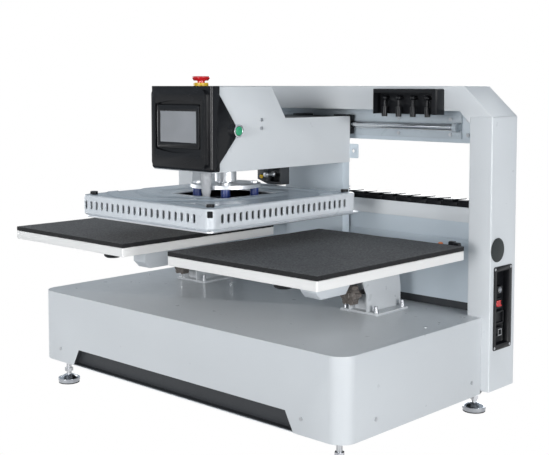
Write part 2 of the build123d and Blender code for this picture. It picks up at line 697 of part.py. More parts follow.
# Head top: one folded cover between the cheeks
HEAD_INNER = HEAD_HALF - SHEET
with BuildPart() as head_top:
    with BuildSketch(Plane.YZ.offset(HEAD_X - HEAD_INNER)):
        with BuildLine():
            Polyline(
                (BEZEL_FRONT + 14, HEAD_TOP),
                (SLOPE_FRONT, HEAD_TOP),
                (SLOPE_BACK, HEAD_STEP),
                (PANEL_BACK, HEAD_STEP),
                (PANEL_BACK, HEAD_STEP - SHEET),
                (SLOPE_BACK - 1.2, HEAD_STEP - SHEET),
                (SLOPE_FRONT - 1.2, HEAD_TOP - SHEET),
                (BEZEL_FRONT + 14, HEAD_TOP - SHEET),
                close=True,
            )
        make_face()
    extrude(amount=2 * HEAD_INNER)
head_top.part.label = "head_top"
export_step(head_top.part, "parts/head_top.step")

# Head base plate: the thick plate with the guide tube of the pressing rod
TUBE_LOW = 512.0
ROD_RADIUS = 16.0
with BuildPart() as head_plate:
    with Locations((HEAD_X, 0, ARM_BOTTOM)):
        with Locations((0, (BEZEL_FRONT + 14 + PANEL_FRONT) / 2, 0)):
            Box(
                2 * HEAD_INNER,
                PANEL_FRONT - BEZEL_FRONT - 14,
                10,
                align=(Align.CENTER, Align.CENTER, Align.MIN),
            )
    with Locations((HEAD_X, PRESS_Y, TUBE_LOW)):
        Cylinder(24, ARM_BOTTOM - TUBE_LOW, align=(Align.CENTER, Align.CENTER, Align.MIN))
        Cylinder(
            ROD_RADIUS + 0.06,
            ARM_BOTTOM + 10 - TUBE_LOW,
            align=(Align.CENTER, Align.CENTER, Align.MIN),
            mode=Mode.SUBTRACT,
        )
head_plate.part.label = "head_plate"
export_step(head_plate.part, "parts/head_plate.step")

# Carriage: the folded back of the head, whose leg reaches down in front of the rear housing, with
# the end-of-travel tab on its right and the bracket that pulls the cable chain
with BuildPart() as carriage:
    with Locations((HEAD_X, PANEL_FRONT, LEG_LOW)):
        Box(2 * HEAD_INNER, 3, HEAD_STEP - SHEET - LEG_LOW, align=(Align.CENTER, Align.MIN, Align.MIN))
    for side in (-1, 1):
        with Locations((HEAD_X + side * (HEAD_INNER - 1), PANEL_FRONT, LEG_LOW)):
            Box(
                SHEET,
                PANEL_BACK - PANEL_FRONT,
                HEAD_STEP - SHEET - LEG_LOW,
                align=(Align.CENTER, Align.MIN, Align.MIN),
            )
    with Locations((HEAD_X, PANEL_BACK - 4, 590)):
        Box(
            2 * HEAD_INNER - 2 * SHEET,
            4,
            HEAD_STEP - SHEET - 590,
            align=(Align.CENTER, Align.MIN, Align.MIN),
        )
    with BuildSketch(Plane.XZ.offset(-PANEL_BACK)):
        with Locations((HEAD_X + HEAD_INNER + 12, 569)):
            RectangleRounded(30, 34, 3)
            Circle(4, mode=Mode.SUBTRACT)
    extrude(amount=-2)
    with Locations((HEAD_X + 20, PANEL_FRONT + 2, CHAIN_LOW + 24)):
        Box(60, CHAIN_Y + 18 - PANEL_FRONT - 2, 3, align=(Align.CENTER, Align.MIN, Align.MIN))
carriage.part.label = "carriage"
export_step(carriage.part, "parts/carriage.step")

# Slide blocks: two bearing blocks on the shaft, and the plastic pad on the lower guide strip
with BuildPart() as slide_blocks:
    for block_x in (HEAD_X - 66, HEAD_X + 66):
        with Locations((block_x, PANEL_BACK, SHAFT_Z)):
            Box(48, 22, 46, align=(Align.CENTER, Align.MIN, Align.CENTER))
        with Locations((block_x, SHAFT_Y, SHAFT_Z)):
            Cylinder(SHAFT_RADIUS + 0.08, 50, rotation=(0, 90, 0), mode=Mode.SUBTRACT)
        with Locations((block_x, SHAFT_Y + 2, SHAFT_Z)):
            Box(50, 20, 13, align=(Align.CENTER, Align.MIN, Align.CENTER), mode=Mode.SUBTRACT)
    with Locations((HEAD_X, PANEL_FRONT + 3, GUIDE_LOW - 6)):
        Box(2 * HEAD_INNER - 2 * SHEET, 24.6, 26, align=(Align.CENTER, Align.MIN, Align.MIN))
slide_blocks.part.label = "slide_blocks"
export_step(slide_blocks.part, "parts/slide_blocks.step")

# Screen bezel: the black moulding over the head's front, with a raised face and chevron wings
SIDE_BEVEL_TOP = 705.0
SIDE_BEVEL_LOW = 561.0
APEX_TOP = 642.0
APEX_LOW = 612.0
SCREEN_Z = 637.0
START_Y = -136.0
START_Z = 628.5
with BuildPart() as bezel:
    with BuildSketch(Plane.YZ.offset(HEAD_X - BEZEL_HALF)):
        with BuildLine():
            Polyline(
                (BEZEL_FRONT + 9, ARM_BOTTOM + 1),
                (HEAD_SIDE_FRONT, ARM_BOTTOM + 1),
                (HEAD_SIDE_FRONT, SIDE_BEVEL_LOW),
                (CHEVRON_APEX, APEX_LOW),
                (CHEVRON_APEX, APEX_TOP),
                (HEAD_SIDE_FRONT, SIDE_BEVEL_TOP),
                (HEAD_SIDE_FRONT, HEAD_TOP + 1.2),
                (BEZEL_FRONT + 9, HEAD_TOP + 1.2),
                close=True,
            )
        make_face()
    extrude(amount=2 * BEZEL_HALF)
    fillet(bezel.edges().filter_by(Axis.X).group_by(Axis.Y)[0].sort_by(Axis.Z)[0], 8)
    fillet(bezel.edges().filter_by(Axis.Z).group_by(Axis.Y)[0], 5)
    with BuildSketch(Plane.XZ.offset(-BEZEL_FRONT - 9)):
        with Locations((HEAD_X, SCREEN_Z - 4)):
            RectangleRounded(2 * BEZEL_HALF - 24, 166, 11)
    extrude(amount=9)
    with Locations((HEAD_X, BEZEL_FRONT + 14, ARM_BOTTOM - 1)):
        Box(
            2 * HEAD_HALF + 0.2,
            CHEVRON_APEX - BEZEL_FRONT,
            HEAD_TOP + 1.1 - ARM_BOTTOM,
            align=(Align.CENTER, Align.MIN, Align.MIN),
            mode=Mode.SUBTRACT,
        )
    with BuildSketch(Plane.XZ.offset(-BEZEL_FRONT)):
        with BuildLine():
            ThreePointArc((HEAD_X - 72, SCREEN_Z + 48), (HEAD_X, SCREEN_Z + 56), (HEAD_X + 72, SCREEN_Z + 48))
            Line((HEAD_X + 72, SCREEN_Z + 48), (HEAD_X + 72, SCREEN_Z - 48))
            ThreePointArc((HEAD_X + 72, SCREEN_Z - 48), (HEAD_X, SCREEN_Z - 56), (HEAD_X - 72, SCREEN_Z - 48))
            Line((HEAD_X - 72, SCREEN_Z - 48), (HEAD_X - 72, SCREEN_Z + 48))
        make_face()
    extrude(amount=-10, mode=Mode.SUBTRACT)
    with BuildSketch(Plane.YZ.offset(HEAD_X + HEAD_HALF)):
        with Locations((START_Y, START_Z)):
            Circle(14.1)
    extrude(amount=6, mode=Mode.SUBTRACT)
bezel.part.label = "bezel"
export_step(bezel.part, "parts/bezel.step")

with BuildPart() as screen_frame:
    with BuildSketch(Plane.XZ.offset(-BEZEL_FRONT - 10)):
        with Locations((HEAD_X, SCREEN_Z)):
            RectangleRounded(134, 92, 3)
    extrude(amount=9)
    with BuildSketch(Plane.XZ.offset(-BEZEL_FRONT - 1)):
        with Locations((HEAD_X, SCREEN_Z)):
            Rectangle(114, 66)
    extrude(amount=-3, mode=Mode.SUBTRACT)
screen_frame.part.label = "screen_frame"
export_step(screen_frame.part, "parts/screen_frame.step")

with BuildPart() as screen:
    with BuildSketch(Plane.XZ.offset(-BEZEL_FRONT - 4)):
        with Locations((HEAD_X, SCREEN_Z)):
            Rectangle(114, 66)
    extrude(amount=2)
screen.part.label = "screen"
export_step(screen.part, "parts/screen.step")

# Button collars: the stop button's yellow collar on top and the start button's ring at the chevron's tip
STOP_Y = -148.0
START_X = HEAD_X + HEAD_HALF
with BuildPart() as button_collars:
    with Locations((HEAD_X, STOP_Y, HEAD_TOP)):
        Cylinder(16.5, 8.2, align=(Align.CENTER, Align.CENTER, Align.MIN))
        Cylinder(9, 8.2, align=(Align.CENTER, Align.CENTER, Align.MIN), mode=Mode.SUBTRACT)
    with BuildSketch(Plane.YZ.offset(START_X)):
        with Locations((START_Y, START_Z)):
            Circle(14)
            Circle(10, mode=Mode.SUBTRACT)
    extrude(amount=10.5)
    fillet(button_collars.edges().filter_by(GeomType.CIRCLE).sort_by(Axis.X)[-1], 1)
button_collars.part.label = "button_collars"
export_step(button_collars.part, "parts/button_collars.step")

# Stop button: a red mushroom that is pushed down into its collar
with BuildPart() as stop_button:
    with Locations((HEAD_X, STOP_Y, HEAD_TOP + 5.2)):
        Cylinder(8.6, 7.4, align=(Align.CENTER, Align.CENTER, Align.MIN))
    with Locations((HEAD_X, STOP_Y, HEAD_TOP + 12.6)):
        Cone(16, 19.5, 6, align=(Align.CENTER, Align.CENTER, Align.MIN))
    with Locations((HEAD_X, STOP_Y, HEAD_TOP + 18.6)):
        Cylinder(19.5, 3.6, align=(Align.CENTER, Align.CENTER, Align.MIN))
    fillet(stop_button.edges().group_by(Axis.Z)[-1], 2.5)
stop_button.part.label = "stop_button"
export_step(stop_button.part, "parts/stop_button.step")

# Start button: the green cap in the ring, which springs back
with BuildPart() as start_button:
    with BuildSketch(Plane.YZ.offset(START_X + 4)):
        with Locations((START_Y, START_Z)):
            Circle(9.6)
    extrude(amount=7.5)
    fillet(start_button.edges().filter_by(GeomType.CIRCLE).sort_by(Axis.X)[-1], 1.5)
start_button.part.label = "start_button"
export_step(start_button.part, "parts/start_button.step")

# Head screws: two in each cheek
with BuildPart() as head_screws:
    with BuildSketch(Plane.YZ.offset(HEAD_X + HEAD_HALF)):
        with Locations((-58, 650), (-58, 632)):
            Circle(4)
    extrude(amount=2.5)
    with BuildSketch(Plane.YZ.offset(HEAD_X - HEAD_HALF)):
        with Locations((-58, 650), (-58, 632)):
            Circle(4)
    extrude(amount=-2.5)
head_screws.part.label = "head_screws"
export_step(head_screws.part, "parts/head_screws.step")

# Press actuator: the ring-shaped drive inside the head, round the rod
with BuildPart() as press_actuator:
    with Locations((HEAD_X, PRESS_Y, ARM_BOTTOM + 10)):
        Cylinder(45, 92, align=(Align.CENTER, Align.CENTER, Align.MIN))
        Cylinder(ROD_RADIUS + 0.3, 92, align=(Align.CENTER, Align.CENTER, Align.MIN), mode=Mode.SUBTRACT)
    with Locations((HEAD_X, PRESS_Y, ARM_BOTTOM + 102)):
        Cylinder(30, 22, align=(Align.CENTER, Align.CENTER, Align.MIN))
press_actuator.part.label = "press_actuator"
export_step(press_actuator.part, "parts/press_actuator.step")

# Sensor bracket under the head's tail, dark, with a probe and a yellow mark on its ear
with BuildPart() as sensor_bracket:
    with BuildSketch(Plane.XZ.offset(-94)):
        with BuildLine():
            Polyline(
                (HEAD_X - 66, ARM_BOTTOM),
                (HEAD_X - 66, 502),
                (HEAD_X - 34, 492),
                (HEAD_X + 10, 492),
                (HEAD_X + 10, ARM_BOTTOM),
                close=True,
            )
        make_face()
    extrude(amount=-30)
    with Locations((HEAD_X - 15, 94, 498)):
        Box(42, 52, 60, align=(Align.CENTER, Align.CENTER, Align.MIN), mode=Mode.SUBTRACT)
    with Locations((HEAD_X - 15, 104, 522)):
        Cylinder(6, 41.9, rotation=(0, 90, 0))
sensor_bracket.part.label = "sensor_bracket"
export_step(sensor_bracket.part, "parts/sensor_bracket.step")

# Heater sleeve: the braided sleeve that brings the heater leads from the head into the platen's cover
SLEEVE_X = 15.0
SLEEVE_Y = -155.0
with BuildPart() as heater_sleeve:
    with BuildSketch(Plane.XY.offset(ARM_BOTTOM)):
        with Locations((SLEEVE_X, SLEEVE_Y)):
            Circle(15)
    with BuildSketch(Plane.XY.offset(512)):
        with Locations((SLEEVE_X + 1, SLEEVE_Y + 3)):
            Circle(10)
    with BuildSketch(Plane.XY.offset(480)):
        with Locations((SLEEVE_X + 3, SLEEVE_Y + 6)):
            Circle(6)
    loft()
heater_sleeve.part.label = "heater_sleeve"
export_step(heater_sleeve.part, "parts/heater_sleeve.step")

# Pressing unit: rod, round flange, bushes, heater plate and slotted cover
with BuildPart() as press_rod:
    with Locations((HEAD_X, PRESS_Y, FLANGE_LOW + 8)):
        Cylinder(ROD_RADIUS, 100, align=(Align.CENTER, Align.CENTER, Align.MIN))
press_rod.part.label = "press_rod"
export_step(press_rod.part, "parts/press_rod.step")

BUSH_PLACES = [(HEAD_X + i * BUSH_OFFSET, PRESS_Y + j * BUSH_OFFSET) for i in (-1, 1) for j in (-1, 1)]
with BuildPart() as press_flange:
    with BuildSketch(Plane.XY.offset(FLANGE_LOW)):
        with Locations((HEAD_X, PRESS_Y)):
            Circle(FLANGE_RADIUS)
        with Locations((SLEEVE_X + 1, SLEEVE_Y + 2)):
            Circle(17, mode=Mode.SUBTRACT)
    extrude(amount=8)
    with BuildSketch(Plane.XY.offset(FLANGE_LOW + 8)):
        with Locations(*BUSH_PLACES):
            RegularPolygon(radius=7.5, side_count=6)
    extrude(amount=5)
press_flange.part.label = "press_flange"
export_step(press_flange.part, "parts/press_flange.step")

DECK_LOW = 462.0
with BuildPart() as flange_bushes:
    with Locations(*[(x, y, DECK_LOW) for x, y in BUSH_PLACES]):
        Cylinder(9.5, FLANGE_LOW - DECK_LOW, align=(Align.CENTER, Align.CENTER, Align.MIN))
flange_bushes.part.label = "flange_bushes"
export_step(flange_bushes.part, "parts/flange_bushes.step")

COVER_LOW = HEAT_LOW + 4
COVER_WIDE = HEAT_WIDTH + 14
COVER_DEEP = HEAT_DEPTH - 13
COVER_X = HEAD_X - 7
COVER_Y = HEAT_MID - 6.5
with BuildPart() as heater_plate:
    with Locations((HEAD_X, HEAT_MID, HEAT_LOW)):
        Box(HEAT_WIDTH, HEAT_DEPTH, COVER_LOW - HEAT_LOW, align=(Align.CENTER, Align.CENTER, Align.MIN))
    fillet(heater_plate.edges().filter_by(Axis.Z), 12)
    with Locations((HEAD_X, COVER_Y, COVER_LOW)):
        Box(HEAT_WIDTH - 12, COVER_DEEP - 12, 8, align=(Align.CENTER, Align.CENTER, Align.MIN))
    with Locations((HEAD_X, PRESS_Y, HEAT_LOW + 12)):
        Box(150, 150, DECK_LOW - HEAT_LOW - 12, align=(Align.CENTER, Align.CENTER, Align.MIN))
heater_plate.part.label = "heater_plate"
export_step(heater_plate.part, "parts/heater_plate.step")

# Cover: a deep-drawn sheet with a square opening, upright cooling slots and a turned-in foot
OPENING_HALF = 84.0
SLOT_WIDE = 8.5
SLOT_HIGH = 18.5
SLOT_Z = 463.5
FRONT_SLOTS = [HEAD_X - 196.5 + i * 18.46 for i in range(20)]
SIDE_SLOTS = [HEAT_FRONT + 34.5 + i * 17.07 for i in range(23)]
with BuildPart() as heater_cover:
    with Locations((COVER_X, COVER_Y, COVER_LOW)):
        Box(COVER_WIDE, COVER_DEEP, COVER_TOP - COVER_LOW, align=(Align.CENTER, Align.CENTER, Align.MIN))
    fillet(heater_cover.edges().filter_by(Axis.Z), COVER_CORNER)
    fillet(heater_cover.edges().group_by(Axis.Z)[-1], 4)
    chamfer(heater_cover.edges().group_by(Axis.Z)[0], 4.5)
    with Locations((COVER_X, COVER_Y, COVER_LOW)):
        Box(
            COVER_WIDE - 9.6,
            COVER_DEEP - 9.6,
            COVER_TOP - COVER_LOW - 2,
            align=(Align.CENTER, Align.CENTER, Align.MIN),
            mode=Mode.SUBTRACT,
        )
    with Locations((HEAD_X, PRESS_Y, COVER_TOP - 5)):
        Box(
            2 * OPENING_HALF,
            2 * OPENING_HALF,
            10,
            align=(Align.CENTER, Align.CENTER, Align.MIN),
            mode=Mode.SUBTRACT,
        )
    with BuildSketch(Plane.XZ.offset(-HEAT_MID + HEAT_DEPTH / 2 + 1)):
        with Locations(*[(x, SLOT_Z) for x in FRONT_SLOTS]):
            SlotOverall(SLOT_HIGH, SLOT_WIDE, rotation=90)
    extrude(amount=-HEAT_DEPTH - 2, mode=Mode.SUBTRACT)
    with BuildSketch(Plane.YZ.offset(COVER_X + COVER_WIDE / 2 + 1)):
        with Locations(*[(y, SLOT_Z) for y in SIDE_SLOTS]):
            SlotOverall(SLOT_HIGH, SLOT_WIDE, rotation=90)
    extrude(amount=-COVER_WIDE - 2, mode=Mode.SUBTRACT)
heater_cover.part.label = "heater_cover"
export_step(heater_cover.part, "parts/heater_cover.step")

CAP_INSET = 20.0
with BuildPart() as cover_caps:
    with Locations((COVER_X, COVER_Y, COVER_TOP)):
        with GridLocations(COVER_WIDE - 2 * CAP_INSET, COVER_DEEP - 2 * CAP_INSET, 2, 2):
            Cylinder(8.5, 7, align=(Align.CENTER, Align.CENTER, Align.MIN))
    fillet(cover_caps.edges().group_by(Axis.Z)[-1], 1.5)
cover_caps.part.label = "cover_caps"
export_step(cover_caps.part, "parts/cover_caps.step")
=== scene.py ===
import math

import bpy
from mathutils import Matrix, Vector, noise


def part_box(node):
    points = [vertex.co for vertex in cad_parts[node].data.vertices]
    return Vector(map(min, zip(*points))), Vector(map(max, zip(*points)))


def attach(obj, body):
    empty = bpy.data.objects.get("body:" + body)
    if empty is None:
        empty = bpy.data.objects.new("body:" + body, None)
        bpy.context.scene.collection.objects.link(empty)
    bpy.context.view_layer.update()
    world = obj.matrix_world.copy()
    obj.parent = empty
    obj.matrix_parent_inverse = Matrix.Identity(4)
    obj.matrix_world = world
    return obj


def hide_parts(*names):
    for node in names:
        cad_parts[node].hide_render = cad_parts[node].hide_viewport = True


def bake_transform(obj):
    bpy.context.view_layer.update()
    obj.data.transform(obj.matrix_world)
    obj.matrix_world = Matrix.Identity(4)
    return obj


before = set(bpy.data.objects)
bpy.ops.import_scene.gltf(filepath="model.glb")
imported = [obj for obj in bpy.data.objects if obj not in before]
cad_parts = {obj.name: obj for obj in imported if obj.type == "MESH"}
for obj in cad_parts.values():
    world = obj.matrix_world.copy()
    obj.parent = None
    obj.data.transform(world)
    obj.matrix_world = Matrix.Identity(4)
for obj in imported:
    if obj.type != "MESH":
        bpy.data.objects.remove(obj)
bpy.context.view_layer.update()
bpy.ops.object.select_all(action="DESELECT")


# The base is a folded sheet-steel box with rounded corners, powder coated light silver-grey. A dark pan
# is pressed into its front, a floor closes it from below, and the power supply and board stand inside.
class Wire:
    """What comes out of a node, with the plain operators of numbers."""

    def __init__(self, finish, socket):
        self.finish = finish
        self.socket = socket

    def _math(self, operation, first, second):
        return self.finish.node("ShaderNodeMath", {"operation": operation}, {0: first, 1: second})

    def __add__(self, other):
        return self._math("ADD", self, other)

    def __sub__(self, other):
        return self._math("SUBTRACT", self, other)

    def __rsub__(self, other):
        return self._math("SUBTRACT", other, self)

    def __mul__(self, other):
        return self._math("MULTIPLY", self, other)

    __radd__ = __add__
    __rmul__ = __mul__


class Finish:
    """One material: a Principled shader and the nodes that feed it."""

    def __init__(self, name, colour, roughness, **sockets):
        self.material = bpy.data.materials.new(name)
        self.material.use_nodes = True
        self.tree = self.material.node_tree
        self.tree.nodes.clear()
        self.shader = self.tree.nodes.new("ShaderNodeBsdfPrincipled")
        output = self.tree.nodes.new("ShaderNodeOutputMaterial")
        self.tree.links.new(self.shader.outputs[0], output.inputs[0])
        self.colour(colour)
        self.feed("Roughness", roughness)
        for socket, value in sockets.items():
            self.feed(socket.replace("_", " "), value)
        self.material.diffuse_color = (*colour, 1)

    def node(self, kind, settings, values, output=0):
        made = self.tree.nodes.new(kind)
        for key, value in settings.items():
            setattr(made, key, value)
        for key, value in values.items():
            self.join(made.inputs[key], value)
        return Wire(self, made.outputs[output])

    def join(self, socket, value):
        if isinstance(value, Wire):
            self.tree.links.new(value.socket, socket)
        else:
            socket.default_value = value

    def feed(self, socket, value):
        self.join(self.shader.inputs[socket], value)

    def colour(self, value):
        self.feed("Base Color", (*value, 1) if isinstance(value, tuple) else value)

    def uneven_gloss(self, roughness, pattern, swing):
        """Lets the roughness swing around its value with a pattern."""
        self.feed("Roughness", pattern * swing + (roughness - swing / 2))

    def place(self, stretch=(1, 1, 1), turn=(0, 0, 0)):
        point = self.node("ShaderNodeTexCoord", {}, {}, "Object")
        return self.node("ShaderNodeMapping", {}, {"Vector": point, "Scale": stretch, "Rotation": turn})

    def grain(self, scale, detail=2, stretch=(1, 1, 1)):
        spot = self.place(stretch)
        return self.node("ShaderNodeTexNoise", {}, {"Vector": spot, "Scale": scale, "Detail": detail})

    def ramp(self, value, low, high):
        return self.node("ShaderNodeMapRange", {"clamp": True}, {0: value, 1: low, 2: high})

    def mix(self, factor, first, second):
        pair = {0: factor}
        for key, value in ((6, first), (7, second)):
            pair[key] = (*value, 1) if isinstance(value, tuple) else value
        return self.node("ShaderNodeMix", {"data_type": "RGBA"}, pair, 2)

    def relief(self, height, depth, strength=1.0):
        values = {"Height": height, "Distance": depth, "Strength": strength}
        self.feed("Normal", self.node("ShaderNodeBump", {}, values))


def powder_coat(name, light, dark, roughness, grain=650):
    """Satin powder coat: a faint cloudiness, uneven gloss and fine orange peel."""
    finish = Finish(name, light, roughness)
    cloud = finish.ramp(finish.grain(3.1, 3), 0.3, 0.7)
    finish.colour(finish.mix(cloud, light, dark))
    finish.uneven_gloss(roughness, finish.grain(45, 3), 0.16)
    finish.relief(finish.grain(grain, 2) + finish.grain(grain / 4, 1) * 0.7, 0.00013)
    return finish


def moulded(name, light, dark, roughness, grain=1400, depth=0.00012, **sockets):
    """Moulded plastic with a fine pebble and slightly uneven gloss."""
    finish = Finish(name, light, roughness, **sockets)
    finish.colour(finish.mix(finish.grain(18, 3), light, dark))
    finish.uneven_gloss(roughness, finish.grain(60, 2), 0.2)
    finish.relief(finish.grain(grain, 2), depth)
    return finish


def machined(name, light, dark, roughness, stretch, depth=0.00004):
    """Bare metal with the fine lines of its machining along one direction."""
    finish = Finish(name, light, roughness, Metallic=1.0)
    lines = finish.grain(30, 4, stretch)
    finish.colour(finish.mix(finish.ramp(lines, 0.3, 0.7), light, dark))
    finish.uneven_gloss(roughness, lines, 0.22)
    finish.relief(lines, depth)
    return finish


def pick(piece):
    bpy.ops.object.select_all(action="DESELECT")
    piece.select_set(True)
    bpy.context.view_layer.objects.active = piece


def coat(finish, *nodes):
    """Gives CAD nodes, whose shape stays as it is, their material."""
    for node in nodes:
        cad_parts[node].data.materials.clear()
        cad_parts[node].data.materials.append(finish.material)


def apply_modifiers(piece):
    pick(piece)
    for modifier in [m.name for m in piece.modifiers]:
        bpy.ops.object.modifier_apply(modifier=modifier)


def settle(piece, name, finish, body, nodes=(), angle=35):
    """Names a finished piece, puts its place into its mesh and joins it to the frame."""
    apply_modifiers(piece)
    bpy.ops.object.transform_apply(location=True, rotation=True, scale=True)
    bpy.ops.object.shade_smooth_by_angle(angle=math.radians(angle))
    piece.name = piece.data.name = name
    piece.data.materials.clear()
    piece.data.materials.append(finish.material)
    if body:
        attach(piece, body)
    if nodes:
        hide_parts(*nodes)
    bpy.ops.object.select_all(action="DESELECT")


MERGE_WITHIN = 2e-6
FLAT_WITHIN = math.radians(0.6)
EDGE_ANGLE = math.radians(38)


def edged(node, edge, name, finish, body, keep=None, segments=2):
    """A copy of a CAD node with its edges rounded, as folding, moulding or deburring leaves them."""
    piece = bpy.data.objects.new(name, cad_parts[node].data.copy())
    bpy.context.scene.collection.objects.link(piece)
    pick(piece)
    bpy.ops.object.mode_set(mode="EDIT")
    bpy.ops.mesh.select_all(action="SELECT")
    bpy.ops.mesh.remove_doubles(threshold=MERGE_WITHIN)
    bpy.ops.mesh.customdata_custom_splitnormals_clear()
    if keep:
        bpy.ops.mesh.select_all(action="DESELECT")
        bpy.ops.object.mode_set(mode="OBJECT")
        for vertex in piece.data.vertices:
            vertex.select = not keep(vertex.co)
        bpy.ops.object.mode_set(mode="EDIT")
        bpy.ops.mesh.select_mode(type="VERT")
        bpy.ops.mesh.delete(type="VERT")
        bpy.ops.mesh.select_all(action="SELECT")
    bpy.ops.mesh.dissolve_limited(angle_limit=FLAT_WITHIN)
    bpy.ops.object.mode_set(mode="OBJECT")
    rounding = piece.modifiers.new("rounding", "BEVEL")
    rounding.width = edge
    rounding.segments = segments
    rounding.limit_method = "ANGLE"
    rounding.angle_limit = EDGE_ANGLE
    rounding.use_clamp_overlap = True
    piece.modifiers.new("flats", "WEIGHTED_NORMAL").keep_sharp = True
    settle(piece, name, finish, body, [node])


frame_paint = powder_coat("frame_paint", (0.61, 0.632, 0.65), (0.58, 0.602, 0.62), 0.31)
grey_paint = powder_coat("grey_paint", (0.50, 0.56, 0.61), (0.46, 0.52, 0.57), 0.34)
dark_paint = powder_coat("dark_paint", (0.030, 0.033, 0.037), (0.024, 0.026, 0.030), 0.5)
black_plastic = moulded(
    "black_plastic", (0.008, 0.0085, 0.010), (0.005, 0.0055, 0.007), 0.34, 900, 0.00004,
    Specular_IOR_Level=0.22,
)
edged("base_housing", 0.0014, "base_shell", frame_paint, "frame")
coat(dark_paint, "recess_pan")
coat(frame_paint, "base_floor")
coat(black_plastic, "electronics")

# Four levelling feet stand under the base and the columns: a threaded stem with its lock nut, and a
# chromed steel disc with a rubber sole.
chrome = machined("chrome", (0.80, 0.81, 0.82), (0.72, 0.73, 0.75), 0.16, (1, 1, 3), 0.00001)
steel = machined("steel", (0.60, 0.61, 0.63), (0.50, 0.51, 0.53), 0.32, (1, 1, 6))
coat(steel, "foot_stems")
SOLE_EDGE = (0.0022, 0.0030)
foot_chrome = Finish("foot_chrome", (0.5, 0.52, 0.55), 0.2, Metallic=1.0)
above_floor = foot_chrome.node("ShaderNodeSeparateXYZ", {}, {0: foot_chrome.place()}, 2)
plated = foot_chrome.ramp(above_floor, *SOLE_EDGE)
clouds = foot_chrome.ramp(foot_chrome.grain(60, 3), 0.3, 0.7)
worn = foot_chrome.mix(clouds, (0.42, 0.44, 0.48), (0.56, 0.58, 0.61))
RUBBER = (0.015, 0.015, 0.017)
RUBBER_ROUGHNESS, PLATING_SMOOTHS = 0.62, 0.46
foot_chrome.colour(foot_chrome.mix(plated, RUBBER, worn))
foot_chrome.feed("Metallic", plated)
clean_roughness = RUBBER_ROUGHNESS - plated * PLATING_SMOOTHS
foot_chrome.feed("Roughness", foot_chrome.grain(45, 2) * 0.12 + clean_roughness)
edged("foot_pads", 0.0012, "foot_discs", foot_chrome, "frame")

# The portal frame is two folded sheet-metal columns and a top beam with cut corners, all powder coated
# like the base. A round black cap closes the hole in each column's side.
for side in ("left", "right"):
    edged("column_" + side, 0.0026, "column_shell_" + side, frame_paint, "frame", segments=3)
edged("top_beam", 0.0018, "beam_shell", frame_paint, "frame")
cap_plastic = moulded(
    "cap_plastic", (0.034, 0.039, 0.039), (0.027, 0.031, 0.031), 0.45, Specular_IOR_Level=0.2
)
edged("column_caps", 0.0016, "column_plugs", cap_plastic, "frame")

# The service panel is a moulded black tray in the right column's side. It holds the mains inlet, the data
# and signal sockets, and a red rocker switch.
edged("service_panel", 0.0008, "inlet_panel", black_plastic, "frame")
edged("service_sockets", 0.0006, "inlet_sockets", black_plastic, "frame")
red_plastic = moulded(
    "red_plastic", (0.62, 0.018, 0.022), (0.52, 0.012, 0.016), 0.25, 900, 0.00003, Coat_Weight=0.5
)
edged("power_rocker", 0.0008, "rocker_key", red_plastic, "power_rocker")

# The small signal socket has a threaded steel ring, and the data socket a folded steel shield.
panel_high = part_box("service_sockets")[1]
SOCKET_Y, SIGNAL_Z, DATA_Z = 0.262, 0.286, 0.194
QUARTER_TURN = math.radians(90)
SIGNAL_RINGS = (("outer", 0.0062, 0.0047), ("inner", 0.0036, 0.0016))
for label, radius, inner in SIGNAL_RINGS:
    bpy.ops.mesh.primitive_torus_add(
        major_radius=(radius + inner) / 2, minor_radius=(radius - inner) / 2,
        major_segments=28, minor_segments=8,
        location=(panel_high.x + 0.0002, SOCKET_Y, SIGNAL_Z), rotation=(0, QUARTER_TURN, 0),
    )
    settle(bpy.context.object, f"signal_ring_{label}", steel, "frame")
bpy.ops.mesh.primitive_plane_add(
    size=1, location=(panel_high.x + 0.0006, SOCKET_Y, DATA_Z), rotation=(0, QUARTER_TURN, 0)
)
shield = bpy.context.object
SHIELD_HIGH, SHIELD_WIDE = 0.014, 0.0145
shield.scale = (SHIELD_HIGH, SHIELD_WIDE, 1)
bpy.ops.object.transform_apply(location=False, rotation=True, scale=True)
bpy.ops.object.mode_set(mode="EDIT")
bpy.ops.mesh.select_all(action="SELECT")
bpy.ops.mesh.inset(thickness=0.0014)
bpy.ops.mesh.delete(type="FACE")
bpy.ops.object.mode_set(mode="OBJECT")
fold = shield.modifiers.new("fold", "SOLIDIFY")
fold.thickness, fold.offset = 0.002, 0
settle(shield, "data_shield", steel, "frame")

# The rear housing closes the frame behind the lower platens: a blue-grey front skin over a dark slot
# strip, a folded beam that is the tray of the cable chain, and a back cover. The chain is moulded black
# links.
coat(grey_paint, "rear_panel", "back_cover")
coat(dark_paint, "slot_strip")
edged("rear_beam", 0.0012, "chain_tray", frame_paint, "frame")
edged("cable_chain", 0.0007, "chain_links", black_plastic, "frame")

# The head's guide: a ground steel shaft on an aluminium support rail, screwed to a plate under the beam.
# A motor behind the plate and a toothed rubber belt move the head.
aluminium = machined("aluminium", (0.72, 0.73, 0.75), (0.62, 0.64, 0.66), 0.44, (1, 12, 12))
edged("rail_plate", 0.0008, "guide_plate", grey_paint, "frame")
rail_grey = powder_coat("rail_grey", (0.46, 0.51, 0.55), (0.38, 0.43, 0.47), 0.3, 300)
edged("support_rail", 0.0006, "guide_support", rail_grey, "frame")
coat(chrome, "guide_shaft")
coat(dark_paint, "shuttle_motor")
belt_rubber = moulded("belt_rubber", (0.03, 0.03, 0.03), (0.02, 0.02, 0.02), 0.7)
coat(belt_rubber, "drive_belt")

# Four light pointers hang in a folded black housing under the beam, each a small turned barrel on a ball
# that can be tilted to aim its line at a lower platen.
edged("pointer_housing", 0.0022, "pointer_case", black_plastic, "frame", segments=3)
for number in range(1, 5):
    pointer = f"pointer_{number}"
    edged(pointer, 0.0006, f"pointer_barrel_{number}", black_plastic, pointer)

